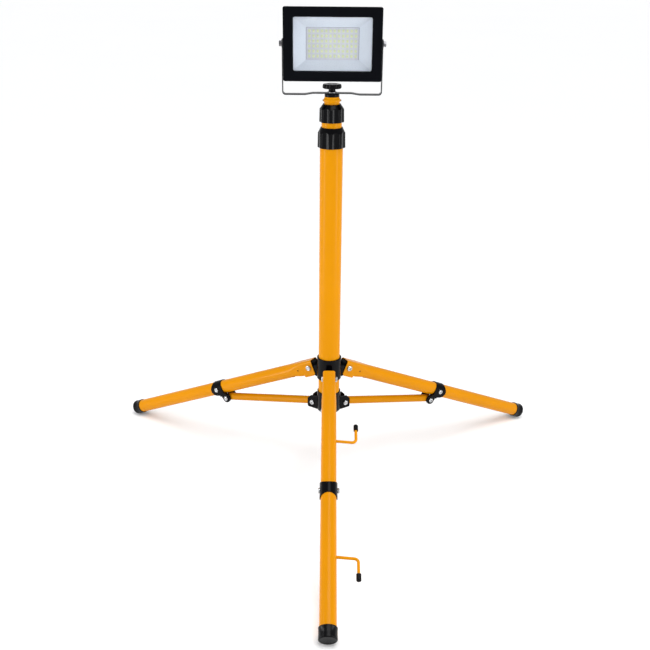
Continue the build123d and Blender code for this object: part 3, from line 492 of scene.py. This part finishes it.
for way in (1, -1):
    lathe(pin_bm, [(PIN_R, -3), (PIN_R, 0.5), (1.0, 0.9), (0, 0.95)],
          facing((way * PIN_REACH, 0, tube_top - PIN_DROP), (way, 0, 0)), 32)
new_piece("plug_cross_pin", pin_bm, BLACK, "inner_mast")


# ---------------------------------------------------------------- knobs
def star_knob(node, matrix, radius, rim, dome, stem_r, stem, finger):
    """Lobed knob: a dished crown with finger scallops over a round stem. Its own +Z is the crown's way.

    radius, rim and dome are the crown's radius, edge height and rise; finger is the scallops' shape.
    """
    crown = [(stem_r, 0.2), (radius - 4.5, 0.0), (radius - 1.5, 0.1)]
    crown += arc(radius - 1.3, 1.3, 1.2, -85, 0, 4)
    crown += [(radius, rim * 0.5)] + arc(radius - 2.0, rim - 1.5, 1.5, 0, 85, 6)
    crown += [(radius * 0.72, rim + dome * 0.25), (radius * 0.55, rim + dome * 0.4),
              (radius * 0.5, rim + dome * 0.1), (radius * 0.46, rim - dome * 0.2)]
    bm = bmesh.new()
    lathe(bm, crown, matrix, 210, lambda a, r, z: finger(a, r, z) if r > radius * 0.6 else (r, z))
    button = [(radius * 0.46, rim - dome * 0.2), (radius * 0.43, rim + dome * 0.2),
              (radius * 0.3, rim + dome * 0.35), (0, rim + dome * 0.45)]
    lathe(bm, button, matrix, 84)
    foot = [(stem_r, 0.2), (stem_r - 0.3, -0.8), (stem_r - 0.3, 1.2 - stem), (stem_r, 0.9 - stem),
            (stem_r, 0.3 - stem), (stem_r - 0.3, -stem), (stem_r - 1.2, -stem)]
    lathe(bm, foot, matrix, 84)
    new_piece(f"{node}_moulded", bm, BLACK, node_body[node], (node,), smooth_angle=50)


knob_low, knob_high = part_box("head_knob")
KNOB_CROWN = 7.6
star_knob("head_knob", Matrix.Translation((0, 0, knob_high[2] / MM - KNOB_CROWN)),
          radius=16.0, rim=7.2, dome=0.8, stem_r=6.2, stem=(knob_high[2] - knob_low[2]) / MM - KNOB_CROWN,
          finger=scallops(7, -9, 3.4, 17.4, 1.3))
lock_low, lock_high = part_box("hub_lock_knob")
LOCK_CROWN = 11.0
lock_z = (lock_low[2] + lock_high[2]) / 2 / MM
star_knob("hub_lock_knob", facing((0, lock_high[1] / MM - LOCK_CROWN, lock_z), (0, 1, 0)),
          radius=13.9, rim=10.4, dome=1.0, stem_r=6.5, stem=(lock_high[1] - lock_low[1]) / MM - LOCK_CROWN,
          finger=scallops(6, 0, 6.0, 17.4))


# ---------------------------------------------------------------- rubber feet
for side in LEGS:
    # rolled lip, a shallow waist, and a sole with a low rim
    profile = [(LEG_R + 0.06, CAP_START + 2), (LEG_R + 0.06, CAP_START + 0.3), (LEG_R + 0.4, CAP_START)]
    profile += arc(CAP_R - 0.6, CAP_START + 0.6, 0.6, -90, 0, 4)
    profile += [(CAP_R, CAP_START + 2.0), (CAP_R - 0.18, CAP_START + 2.4), (CAP_R - 0.22, CAP_START + 12),
                (CAP_R - 0.1, CAP_START + 14)]
    profile += [(CAP_R, CAP_END - 2.2)] + arc(CAP_R - 2.0, CAP_END - 2.0, 2.0, 0, 90, 8)
    profile += [(12.2, CAP_END), (11.9, CAP_END - 0.35), (0, CAP_END - 0.35)]
    cap_bm = bmesh.new()
    lathe(cap_bm, profile, leg_matrix(side) @ Matrix.Rotation(math.radians(90), 4, "Y"), 96)
    new_piece(f"foot_cap_{side}_moulded", cap_bm, FOOT_RUBBER, f"leg_{side}",
              (f"foot_cap_{side}",))

# ---------------------------------------------------------------- fasteners
for side in LEGS:
    matrix = leg_matrix(side)
    bm = bmesh.new()
    for x, z, half in (CLAMP_BOLT, STRUT_BOLT):
        pan_head(bm, matrix @ facing((x, -half, z), (0, -1, 0), 20), HEAD_R, HEAD_T)
        rod(bm, matrix @ facing((x, -half, z), (0, -1, 0)), BOLT_R, -2 * half, 0)
        lock_nut(bm, matrix @ facing((x, half, z), (0, 1, 0), 12), NUT_R, NUT_T, BOLT_R, 0.0)
    for way in (1, -1):
        rod(bm, matrix @ facing((0, way * CHEEK, 0), (0, way, 0)), PIVOT_R, -CHEEK_WALL, 0)
    pan_head(bm, matrix @ facing((0, -CHEEK, 0), (0, -1, 0), 35), 5.4, 3.0)
    lock_nut(bm, matrix @ facing((0, CHEEK, 0), (0, 1, 0), 8), 5.6, 4.0, PIVOT_R, 0.0)
    # flat black discs on the fork: the pressed dimples' shade painted on, not pressed in
    dimple_shade = bmesh.new()
    tube = frame["nodes"][f"leg_tube_{side}"]
    to_tube = tube.matrix_world.inverted()
    for way in (1, -1):
        start = to_tube @ (matrix @ Vector((DIMPLE_ALONG, way * 20, -DIMPLE_BELOW)) * MM)
        inward = to_tube @ (matrix @ Vector((DIMPLE_ALONG, 0, -DIMPLE_BELOW)) * MM) - start
        place = (tube.matrix_world @ tube.ray_cast(start, inward.normalized())[1]) / MM
        lathe(dimple_shade, [(1.6, -0.4), (1.6, 0.04), (1.35, 0.10), (1.0, 0.05), (0, 0.03)],
              facing(place, matrix.to_3x3() @ Vector((0, way, 0))), 28)
    new_piece(f"fork_dimple_shade_{side}", dimple_shade, BLACK, f"leg_{side}")
    new_piece(f"leg_bolts_{side}", bm, ZINC, f"leg_{side}", (f"leg_fasteners_{side}",))

bolts, nuts = bmesh.new(), bmesh.new()
for side in LEGS:
    across = UP.cross(outward(side))
    pivot = outward(side) * BASE_PIVOT_R + UP * BASE_Z
    pan_head(bolts, facing(pivot + across * BASE_EAR, across, 25), HEAD_R, HEAD_T)
    rod(bolts, facing(pivot + across * BASE_EAR, across), BOLT_R, -2 * BASE_EAR, 0)
    lock_nut(nuts, facing(pivot - across * BASE_EAR, -across, 10), NUT_R, NUT_T, BOLT_R, 1.0)
new_piece("base_bolts_finished", bolts, ZINC, "mast", ("base_collar_bolts",))
new_piece("base_nuts_finished", nuts, ZINC, "mast", ("base_collar_nuts",))


# ---------------------------------------------------------------- tilt bolts over toothed lock washers
def toothed(a, r, z):
    return (r + 0.5 * math.cos(12 * a) if r > 5 else r), z


def hex_head(a, r, z):
    return hexagon(4.1)(a, r, z) if z > WASHER_T + 0.7 else (r, z)


bolt_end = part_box("tilt_bolts")[1][0] / MM
arm_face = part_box("tilt_washers")[1][0] / MM - WASHER_T
bolts, washers = bmesh.new(), bmesh.new()
for way in (1, -1):
    base = facing((way * arm_face, 0, LAMP_Z), (way, 0, 0), 15)
    head = bolt_end - arm_face
    lathe(washers, [(PIVOT_R + 0.1, 0), (5.6, 0), (5.9, WASHER_T / 2), (5.6, WASHER_T),
                    (PIVOT_R + 0.1, WASHER_T)], base, 120, toothed, closed=True)
    rod(bolts, base, PIVOT_R, -6, WASHER_T)
    lathe(bolts, [(PIVOT_R, WASHER_T), (5.0, WASHER_T), (5.1, WASHER_T + 0.4), (4.73, WASHER_T + 0.72),
                  (4.73, head - 0.7), (4.0, head - 0.1), (2.9, head - 0.1), (2.6, head - 0.6),
                  (0, head - 0.7)], base, 72, hex_head)
new_piece("tilt_bolts_finished", bolts, DARK_ZINC, "lamp", ("tilt_bolts",))
new_piece("tilt_lock_washers", washers, DARK_ZINC, "lamp", ("tilt_washers",))

# ---------------------------------------------------------------- LED packages on the board
COLUMNS, ROWS = 12, 6
CHIP = (2.8, 3.5)                       # width and height of a package
LENS_MARGIN = 0.5                       # package's rim around its phosphor, both sides together
PAD_SIZE = (5.0, 5.6)
chip_low, chip_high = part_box("led_chips")
chip_back, chip_front = chip_high[1] / MM, chip_low[1] / MM
chip_x = (chip_low[0] / MM + CHIP[0] / 2, chip_high[0] / MM - CHIP[0] / 2)
chip_z = (chip_low[2] / MM + CHIP[1] / 2, chip_high[2] / MM - CHIP[1] / 2)


def slab(bm, x, z, back, front, width, height, taper):
    """Small moulded block, a little narrower at its front."""
    rings = []
    for y, inset in ((back, 0.0), (front + 0.3 * (back - front), taper * 0.6), (front, taper)):
        w, h = width / 2 - inset, height / 2 - inset
        rings.append([bm.verts.new((x + sx * w, y, z + sz * h))
                      for sx, sz in ((-1, -1), (1, -1), (1, 1), (-1, 1))])
    for lower, upper in zip(rings, rings[1:]):
        for k in range(4):
            bm.faces.new((lower[k], lower[(k + 1) % 4], upper[(k + 1) % 4], upper[k]))
    bm.faces.new(rings[-1])
    bm.faces.new(rings[0][::-1])


packages, phosphor, pads = bmesh.new(), bmesh.new(), bmesh.new()
for column in range(COLUMNS):
    for row in range(ROWS):
        x = chip_x[0] + (chip_x[1] - chip_x[0]) * column / (COLUMNS - 1)
        z = chip_z[0] + (chip_z[1] - chip_z[0]) * row / (ROWS - 1)
        slab(packages, x, z, chip_back, chip_front + 0.15, *CHIP, 0.12)
        slab(pads, x, z, chip_back, chip_back - 0.06, *PAD_SIZE, 0.1)
        slab(phosphor, x, z, chip_front + 0.3, chip_front, CHIP[0] - LENS_MARGIN, CHIP[1] - LENS_MARGIN, 0.15)
new_piece("led_packages", packages, PACKAGE, "lamp", (), 30)
new_piece("led_pads", pads, PAD, "lamp", (), 30)
new_piece("led_phosphor", phosphor, PHOSPHOR, "lamp", ("led_chips",), 30)

# dark strips at the board's edge, seen through the reflector's opening: painted shade of the gap between reflector
# and board
APERTURE = (88.0, 52.0)
rim = bmesh.new()
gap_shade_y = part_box("led_board")[0][1] / MM - 0.12
for way in (1, -1):
    slab(rim, way * (APERTURE[0] / 2 - 0.3), LAMP_Z, gap_shade_y + 0.1, gap_shade_y, 0.55, APERTURE[1] - 1, 0.05)
slab(rim, 0, LAMP_Z + APERTURE[1] / 2 - 0.3, gap_shade_y + 0.1, gap_shade_y, APERTURE[0] - 1, 0.3, 0.05)
new_piece("painted_gap_shade_strips", rim, GAP_SHADE_GREY, "lamp", (), 30)
